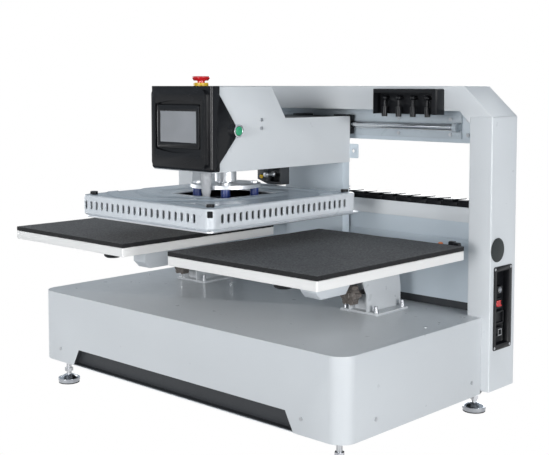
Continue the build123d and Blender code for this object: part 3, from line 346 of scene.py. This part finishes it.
# Each lower platen stands on a clevis of cut steel plates. An aluminium arm is bolted between its cheeks,
# and a moulded six-lobed knob clamps it from the front.
plate_steel = powder_coat("plate_steel", (0.50, 0.52, 0.54), (0.42, 0.44, 0.46), 0.3, 300)
knob_brown = moulded("knob_brown", (0.135, 0.118, 0.105), (0.085, 0.074, 0.066), 0.36)
cast_metal = powder_coat("cast_metal", (0.60, 0.63, 0.66), (0.50, 0.53, 0.56), 0.4, 220)
for side in ("left", "right"):
    edged("pedestal_" + side, 0.0008, "clevis_" + side, plate_steel, "frame")
    edged("arm_" + side, 0.0014, "platen_arm_" + side, cast_metal, "frame")
    edged("clamp_knob_" + side, 0.0014, "knob_" + side, knob_brown, "clamp_knob_" + side)

# Each clamp knob's face has raised rings round its middle, moulded with it.
KNOB_RINGS = [(0.0055, 0.0), (0.0105, 0.003), (0.0155, 0.003)]
RING_THICKNESS = 0.0011
for side in ("left", "right"):
    low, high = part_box("clamp_knob_" + side)
    centre = (low + high) / 2
    for count, (ring_radius, sunk) in enumerate(KNOB_RINGS, start=1):
        bpy.ops.mesh.primitive_torus_add(
            major_radius=ring_radius, minor_radius=RING_THICKNESS, major_segments=40, minor_segments=8,
            location=(centre.x, low.y + sunk, centre.z),
            rotation=(QUARTER_TURN, 0, 0),
        )
        ring_name = f"knob_ring_{count}_{side}"
        settle(bpy.context.object, ring_name, knob_brown, "clamp_knob_" + side)

# The lower platens are flat steel plates with white enamel.
white_enamel = powder_coat("white_enamel", (0.80, 0.79, 0.775), (0.76, 0.75, 0.735), 0.4)
for side in ("left", "right"):
    edged("platen_" + side, 0.0012, "work_plate_" + side, white_enamel, "frame")

# A turned black knob under each platen locks it to its arm, and a small black catch and an orange button
# stand at the right platen's rear edge.
SOFT_SHARE = 0.06
SOFT_ANGLE = math.radians(25)


def turned(name, radius, profile, place, finish, body, tilt=(0, 0, 0)):
    """A round piece: a disc extruded along a profile of heights and radius shares, then softened."""
    bpy.ops.mesh.primitive_circle_add(vertices=32, radius=radius, fill_type="NGON", location=place)
    piece = bpy.context.object
    bpy.ops.object.mode_set(mode="EDIT")
    bpy.ops.mesh.select_all(action="SELECT")
    reached, share = 0.0, 1.0
    for height, wanted in profile:
        bpy.ops.mesh.extrude_region_move(TRANSFORM_OT_translate={"value": (0, 0, height - reached)})
        bpy.ops.transform.resize(value=(wanted / share, wanted / share, 1))
        reached, share = height, wanted
    bpy.ops.mesh.select_all(action="SELECT")
    bpy.ops.mesh.normals_make_consistent(inside=False)
    bpy.ops.object.mode_set(mode="OBJECT")
    piece.rotation_euler = tilt
    soft = piece.modifiers.new("soft", "BEVEL")
    soft.width, soft.segments, soft.angle_limit = radius * SOFT_SHARE, 2, SOFT_ANGLE
    soft.limit_method = "ANGLE"
    settle(piece, name, finish, body)


RELEASE_Y = -0.186
KNOB_SHAPE = [(-0.010, 1.0), (-0.014, 0.62), (-0.018, 0.62), (-0.022, 1.0), (-0.034, 0.94), (-0.038, 0.7)]
for side in ("left", "right"):
    low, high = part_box("platen_" + side)
    middle = (low.x + high.x) / 2
    turned(
        "release_knob_" + side, 0.022, KNOB_SHAPE, (middle, RELEASE_Y, low.z), black_plastic, "frame",
    )
low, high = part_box("platen_right")
orange_plastic = moulded("orange_plastic", (0.75, 0.22, 0.06), (0.62, 0.17, 0.05), 0.4)
BUTTON_SHAPE = [(0.006, 1.0), (0.010, 0.7)]
turned(
    "rear_button", 0.006, BUTTON_SHAPE, (high.x - 0.062, high.y + 0.004, high.z + 0.002),
    orange_plastic, "frame",
)
CATCHES = ((0.032, 0.004), (0.020, 0.002))
CATCH_WIDTH, CATCH_DEPTH = 0.014, 0.012
for number, (gap, lift) in enumerate(CATCHES, start=1):
    spot = (high.x - gap, high.y + 0.003, high.z + 0.006 + lift / 2)
    bpy.ops.mesh.primitive_cube_add(size=1, location=spot)
    catch = bpy.context.object
    catch.scale = (CATCH_WIDTH, CATCH_DEPTH, CATCH_WIDTH + lift)
    bpy.ops.object.transform_apply(location=False, rotation=False, scale=True)
    catch.modifiers.new("soft", "BEVEL").width = 0.0016
    settle(catch, f"rear_catch_{number}", black_plastic, "frame")

# A charcoal silicone-foam pad is glued on each lower platen. It is knife-cut, so its sides are rough and
# its top is softly uneven. Its sides are painted near black, which is painted shade on every face that
# does not look up.
foam = Finish("charcoal_foam", (0.05, 0.05, 0.052), 0.95)
cells = foam.node("ShaderNodeTexVoronoi", {}, {"Vector": foam.place(), "Scale": 620.0}, "Distance")
patches = foam.ramp(foam.grain(9, 4), 0.25, 0.75)
specks = foam.ramp(foam.grain(260, 2), 0.3, 0.7)
top_colour = foam.mix(patches * 0.25 + specks * 0.9, (0.168, 0.168, 0.17), (0.068, 0.068, 0.069))
# Painted shade: faces that do not look up get a near-black colour, darker than the foam's top.
normal = foam.node("ShaderNodeNewGeometry", {}, {}, "Normal")
painted_side_shade = foam.node("ShaderNodeSeparateXYZ", {}, {0: normal}, "Z")
foam.colour(foam.mix(foam.ramp(painted_side_shade, 0.2, 0.8), (0.008, 0.008, 0.009), top_colour))
foam.relief(cells + foam.grain(160, 3) * 1.4, 0.0006, 0.7)
FOAM_WAVE = 0.00045
FOAM_SINK = 0.6
TOP_RIPPLE, SIDE_RIPPLE = 14, 90
TOP_BAND = 0.003
EDGE_BAND, EDGE_DROP = 0.02, 0.0006
for side in ("left", "right"):
    low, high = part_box("pad_" + side)
    middle, half = (low + high) / 2, (high - low) / 2
    bpy.ops.mesh.primitive_grid_add(
        x_subdivisions=60, y_subdivisions=70, size=1, location=(middle.x, middle.y, high.z)
    )
    pad = bpy.context.object
    pad.scale = (high.x - low.x, high.y - low.y, 1)
    bpy.ops.object.transform_apply(location=False, rotation=False, scale=True)
    body = pad.modifiers.new("body", "SOLIDIFY")
    body.thickness, body.offset = high.z - low.z, -1
    edge_cut = pad.modifiers.new("edge_cut", "BEVEL")
    edge_cut.width, edge_cut.segments = 0.0014, 2
    apply_modifiers(pad)
    for vertex in pad.data.vertices:
        spot = vertex.co + middle
        inward = min(half.x - abs(vertex.co.x), half.y - abs(vertex.co.y))
        edge = min(1.0, inward / EDGE_BAND)
        on_top = vertex.co.z > -TOP_BAND
        ripple = noise.fractal(spot * (TOP_RIPPLE if on_top else SIDE_RIPPLE), 1.0, 2.0, 3)
        vertex.co += vertex.normal * FOAM_WAVE * (ripple - FOAM_SINK)
        if on_top:
            vertex.co.z -= EDGE_DROP * (1 - max(0.0, edge)) ** 2
    settle(pad, "foam_pad_" + side, foam, "frame", ["pad_" + side])

# The head is a box of two folded cheeks with a dark top and a thick aluminium bottom plate. Its leg, a
# folded blue-grey sheet, runs down behind the platens. It slides on the guide with two bearing blocks and
# a plastic pad.
coat(black_plastic, "head_top")
edged("head_cheeks", 0.0012, "cheeks", frame_paint, "head")
edged("head_plate", 0.001, "head_base_plate", aluminium, "head")
edged("carriage", 0.0012, "leg_sheet", grey_paint, "head")
edged("slide_blocks", 0.0012, "bearing_blocks", black_plastic, "head")
coat(aluminium, "press_actuator")
edged("sensor_bracket", 0.0008, "sensor_holder", dark_paint, "head")
coat(steel, "head_screws")

# A light probe and a small yellow lamp look out of the bracket under the head.
yellow_plastic = moulded("yellow_plastic", (0.78, 0.50, 0.02), (0.70, 0.44, 0.015), 0.35)
FACING_FRONT = (QUARTER_TURN, 0, 0)
SENSOR_Y = 0.0945
LENS_SHAPE = [(0.002, 1.0), (0.004, 0.7)]
PROBE_SHAPE = [(0.004, 1.0), (0.005, 0.7), (0.022, 0.7), (0.024, 1.0), (0.030, 0.9)]
turned(
    "sensor_lamp", 0.005, LENS_SHAPE, (-0.060, SENSOR_Y, 0.509),
    yellow_plastic, "head", FACING_FRONT,
)
turned(
    "sensor_probe", 0.006, PROBE_SHAPE, (-0.020, SENSOR_Y, 0.5165),
    aluminium, "head", FACING_FRONT,
)

# The control face is a moulded satin-black bezel with a waisted pocket. In it sits a small touch screen,
# unlit, in a black frame.
bezel_plastic = moulded(
    "bezel_plastic", (0.010, 0.0105, 0.012), (0.008, 0.0085, 0.010), 0.18, 400, 0.00001,
    Specular_IOR_Level=0.24,
)
edged("bezel", 0.0018, "control_face", bezel_plastic, "head", segments=3)
edged("screen_frame", 0.001, "screen_surround", bezel_plastic, "head")
screen_glass = Finish("screen_glass", (0.30, 0.31, 0.32), 0.12, Coat_Weight=0.6)
haze = screen_glass.ramp(screen_glass.grain(9, 2), 0.3, 0.7)
screen_glass.colour(screen_glass.mix(haze, (0.28, 0.29, 0.31), (0.22, 0.23, 0.245)))
screen_glass.feed("Roughness", screen_glass.grain(25, 2) * 0.1 + 0.1)
coat(screen_glass, "screen")

# The emergency stop is a red mushroom on a yellow collar on the head's top. The start button is a green
# button in a chromed ring on the right cheek.
green_plastic = moulded("green_plastic", (0.02, 0.36, 0.17), (0.015, 0.30, 0.14), 0.28, Coat_Weight=0.4)
COLLAR_LEVEL = 0.715
edged("button_collars", 0.001, "stop_collar", yellow_plastic, "head", lambda p: p.z > COLLAR_LEVEL)
edged("button_collars", 0.001, "start_ring", chrome, "head", lambda p: p.z < COLLAR_LEVEL)
edged("stop_button", 0.001, "stop_mushroom", red_plastic, "stop_button")
edged("start_button", 0.0008, "start_key", green_plastic, "start_button")

# The press rod comes down from the drive through its tube, and a round flange on four dark-blue bushes
# carries the cast heating plate.
blue_plastic = moulded("blue_plastic", (0.02, 0.045, 0.2), (0.015, 0.03, 0.14), 0.3)
coat(chrome, "press_rod")
edged("press_flange", 0.001, "flange_disc", aluminium, "press")
edged("flange_bushes", 0.0008, "bushes", blue_plastic, "press")
edged("heater_plate", 0.0008, "heat_plate", aluminium, "press")


# The heated platen's cover is pressed sheet in pearl silver, with a row of slots in its sides and a
# shallow relief on its top. The relief is painted in a darker, bluer copy of the pearl as painted shade.
# Black caps close the fixing holes at its corners.
def drop_faces(piece, gone):
    """Deletes the faces that gone is true of."""
    bpy.ops.object.mode_set(mode="EDIT")
    bpy.ops.mesh.select_mode(type="FACE")
    bpy.ops.mesh.select_all(action="DESELECT")
    bpy.ops.object.mode_set(mode="OBJECT")
    for face in piece.data.polygons:
        face.select = gone(face)
    bpy.ops.object.mode_set(mode="EDIT")
    bpy.ops.mesh.delete(type="FACE")
    bpy.ops.object.mode_set(mode="OBJECT")


pearl = powder_coat("pearl_silver", (0.62, 0.65, 0.68), (0.57, 0.60, 0.635), 0.3)
edged("heater_cover", 0.0016, "cover_shell", pearl, "press")
edged("cover_caps", 0.0014, "corner_caps", black_plastic, "press")
low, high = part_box("heater_cover")
PRESS_X, PRESS_Y = -0.0075, -0.075
OPENING_HALF = 0.084
RELIEF_RISE = 0.003
COVER_EDGE, FADE_BAND, RIM_GAP = 0.009, 0.008, 0.004
SKIN_LIFT, SKIN_SINK = 0.00012, 0.0008
SPIRAL_ARMS, SPIRAL_RATE = 3, 62
WARP, WARP_RATE = 2.0, 18
RIDGE_GAIN, RIDGE_SHIFT = 2.2, 0.1
centre = (low + high) / 2
bpy.ops.mesh.primitive_grid_add(
    x_subdivisions=150, y_subdivisions=160, size=1, location=(centre.x, centre.y, high.z)
)
skin = bpy.context.object
skin.scale = (high.x - low.x - 2 * COVER_EDGE, high.y - low.y - 2 * COVER_EDGE, 1)
bpy.ops.object.transform_apply(location=True, rotation=False, scale=True)
for vertex in skin.data.vertices:
    x, y = vertex.co.x - PRESS_X, vertex.co.y - PRESS_Y
    rim = max(abs(x), abs(y)) - OPENING_HALF
    sides = (vertex.co.x - low.x, high.x - vertex.co.x, vertex.co.y - low.y, high.y - vertex.co.y)
    border = min(sides) - COVER_EDGE
    reach = math.hypot(x, y)
    turn = math.atan2(y, x)
    warp = WARP * math.sin(turn * 2 + reach * WARP_RATE)
    swirl = math.sin(reach * SPIRAL_RATE + SPIRAL_ARMS * turn + warp)
    ridge = max(0.0, min(1.0, swirl * RIDGE_GAIN + RIDGE_SHIFT))
    fade = max(0.0, min(1.0, border / FADE_BAND, (rim - RIM_GAP) / FADE_BAND))
    vertex.co.z += RELIEF_RISE * ridge * fade - (0.0 if fade > 0 else SKIN_SINK) + SKIN_LIFT
OPENING_CUT = OPENING_HALF + 0.003
drop_faces(skin, lambda face: max(abs(face.center.x - PRESS_X), abs(face.center.y - PRESS_Y)) < OPENING_CUT)
wall = skin.modifiers.new("wall", "SOLIDIFY")
wall.thickness, wall.offset = 0.0012, -1
# Painted shade: the top relief gets a darker, bluer copy of the cover's pearl paint.
pearl_shaded_top = powder_coat("pearl_shaded_top", (0.50, 0.56, 0.61), (0.44, 0.50, 0.56), 0.2)
settle(skin, "cover_relief", pearl_shaded_top, "press", angle=60)

# A near-black sheet lines the inside of the cover's walls as painted shade, so the slots look dark.
low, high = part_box("heater_cover")
LINING_GAP = 0.0065
LINING_Z, LINING_HIGH = 0.4655, 0.031
# Painted shade: a near-black material for the sheet behind the slots.
slot_shade_sheet = moulded("slot_shade_sheet", (0.012, 0.012, 0.012), (0.007, 0.007, 0.007), 0.8, 500, 0.0003)
bpy.ops.mesh.primitive_cube_add(size=1, location=((low.x + high.x) / 2, (low.y + high.y) / 2, LINING_Z))
lining = bpy.context.object
lining.scale = (high.x - low.x - 2 * LINING_GAP, high.y - low.y - 2 * LINING_GAP, LINING_HIGH)
bpy.ops.object.transform_apply(location=False, rotation=False, scale=True)
drop_faces(lining, lambda face: abs(face.normal.z) > 0.5)
shade_wall = lining.modifiers.new("shade_wall", "SOLIDIFY")
shade_wall.thickness, shade_wall.offset = 0.0016, -1
settle(lining, "cover_lining", slot_shade_sheet, "press")

# A small black clip holds the cover's front corner.
low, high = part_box("heater_cover")
CORNER_IN, CLIP_DROP = 0.0052, 0.011
CLIP_SIZE = (0.011, 0.004, 0.013)
corner = (high.x - CORNER_IN, low.y + CORNER_IN, high.z - CLIP_DROP)
bpy.ops.mesh.primitive_cube_add(size=1, location=corner)
clip = bpy.context.object
clip.scale = CLIP_SIZE
clip.rotation_euler = (0, 0, math.radians(45))
bpy.ops.object.transform_apply(location=False, rotation=False, scale=True)
clip.modifiers.new("soft", "BEVEL").width = 0.0012
settle(clip, "corner_clip", black_plastic, "press")

# A light braided sleeve carries the heater's wiring from the head down to the heated platen. It rides on no
# body, so it stays where it is when the head or the platen moves.
braid = Finish("braided_sleeve", (0.62, 0.62, 0.61), 0.85)
threads = [
    braid.node("ShaderNodeTexWave", {"wave_type": "BANDS", "bands_direction": "Z"},
               {"Vector": braid.place(turn=(0, tilt, 0)), "Scale": 260.0, "Distortion": 0.6}, 1)
    for tilt in (0.7, -0.7)
]
weave = threads[0] * threads[1]
braid.colour(braid.mix(weave, (0.40, 0.41, 0.43), (0.66, 0.68, 0.70)))
braid.relief(weave, 0.0006)
low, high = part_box("heater_sleeve")
SLEEVE_TURNS, SLEEVE_RINGS = 28, 24
FOOT_SHARE, WIDENING = 0.52, 0.42
WAVE, WAVE_RATE = 0.03, 31
bpy.ops.mesh.primitive_cylinder_add(
    vertices=SLEEVE_TURNS, radius=1, depth=high.z - low.z, location=(low + high) / 2, end_fill_type="NGON"
)
sleeve = bpy.context.object
bpy.ops.object.mode_set(mode="EDIT")
bpy.ops.mesh.select_mode(type="EDGE")
bpy.ops.mesh.select_all(action="DESELECT")
bpy.ops.object.mode_set(mode="OBJECT")
for edge in sleeve.data.edges:
    ends = [sleeve.data.vertices[i].co.z for i in edge.vertices]
    edge.select = abs(ends[0] - ends[1]) > 0.01
bpy.ops.object.mode_set(mode="EDIT")
bpy.ops.mesh.subdivide(number_cuts=SLEEVE_RINGS)
bpy.ops.object.mode_set(mode="OBJECT")
wide = (high.x - low.x) / 2
for vertex in sleeve.data.vertices:
    share = (vertex.co.z + (high.z - low.z) / 2) / (high.z - low.z)
    radius = wide * (FOOT_SHARE + WIDENING * share + WAVE * math.sin(share * WAVE_RATE))
    vertex.co.x *= radius
    vertex.co.y *= radius
settle(sleeve, "wiring_sleeve", braid, None, ["heater_sleeve"], 60)
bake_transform(sleeve)

# Identical zinc-plated screws hold the panels, the guide and the pedestals.
coat(steel, "frame_fasteners")

# The studio is a white floor without edges and a pale sky. Four soft lamps stand low around the machine
# and a weak one hangs above it, so its faces are lighter than its tops.
floor_paper = Finish("floor_paper", (0.92, 0.92, 0.92), 0.9)
IN_REFLECTIONS = 0.6
mirrored = floor_paper.node("ShaderNodeLightPath", {}, {}, "Is Glossy Ray")
seen = floor_paper.node("ShaderNodeLightPath", {}, {}, "Is Camera Ray") + mirrored * IN_REFLECTIONS
glow = floor_paper.node("ShaderNodeEmission", {}, {"Color": (1, 1, 1, 1), "Strength": 1.0})
paper = Wire(floor_paper, floor_paper.shader.outputs[0])
sheet_mix = floor_paper.node("ShaderNodeMixShader", {}, {0: seen, 1: paper, 2: glow})
end = next(n for n in floor_paper.tree.nodes if n.type == "OUTPUT_MATERIAL")
floor_paper.join(end.inputs[0], sheet_mix)
FLOOR_SIZE = 160
bpy.ops.mesh.primitive_plane_add(size=FLOOR_SIZE, location=(0, 0, 0))
floor = bpy.context.object
floor.name = "studio_floor"
floor.data.materials.append(floor_paper.material)


# The air around the machine is cool and dim where it lights it, white to the camera and through glass,
# and in between in reflections.
class Air(Finish):
    """The world's nodes, made with a finish's own method."""

    def __init__(self, world):
        world.use_nodes = True
        self.tree = world.node_tree
        self.tree.nodes.clear()


world = bpy.data.worlds.new("studio_air")
bpy.context.scene.world = world
air = Air(world)
LIT, SHOWN, SHINE = 0.17, 1.0, 0.5
COOL, WHITE = (0.62, 0.81, 1.0), (1, 1, 1)
direct = air.node("ShaderNodeLightPath", {}, {}, "Is Camera Ray")
through = air.node("ShaderNodeLightPath", {}, {}, "Is Transmission Ray")
glossy = air.node("ShaderNodeLightPath", {}, {}, "Is Glossy Ray")
shown = air.node("ShaderNodeMath", {"operation": "MAXIMUM"}, {0: direct, 1: through}) + glossy * SHINE
level = air.node("ShaderNodeMapRange", {}, {0: shown, "To Min": LIT, "To Max": SHOWN})
tint = air.mix(shown, COOL, WHITE)
sky = air.node("ShaderNodeBackground", {}, {"Color": tint, "Strength": level})
air_end = air.tree.nodes.new("ShaderNodeOutputWorld")
air.join(air_end.inputs[0], sky)

# Each lamp is aimed at the machine's middle height.
LAMP_AIM = Vector((0, 0, 0.35))
for name, place, size, power in (
    ("front_lamp", (1.4, -6.6, 0.95), 2.2, 262),
    ("right_lamp", (6.6, -1.4, 0.95), 2.2, 298),
    ("top_lamp", (0.2, 0.6, 3.4), 2.2, 5),
    ("rear_lamp", (-3.2, 6.4, 1.5), 3.2, 190),
    ("left_lamp", (-6.6, -0.6, 1.5), 3.2, 190),
):
    lamp = bpy.data.lights.new(name, "AREA")
    lamp.size = size
    lamp.energy = power
    holder = bpy.data.objects.new(name, lamp)
    bpy.context.scene.collection.objects.link(holder)
    holder.location = place
    holder.rotation_euler = (LAMP_AIM - Vector(place)).to_track_quat("-Z", "Y").to_euler()

camera_data = bpy.data.cameras.new("camera")
camera_data.sensor_fit = "HORIZONTAL"
camera_data.sensor_width = 36
camera_data.lens = 68.3
camera_data.shift_y = -0.12
camera_data.clip_end = 60
camera = bpy.data.objects.new("camera", camera_data)
bpy.context.scene.collection.objects.link(camera)
camera.location = (1.6571, -1.6812, 0.7246)
camera.rotation_euler = (math.radians(85.81), 0, math.radians(43.33))
bpy.context.scene.camera = camera
bpy.context.scene.view_settings.view_transform = "Standard"
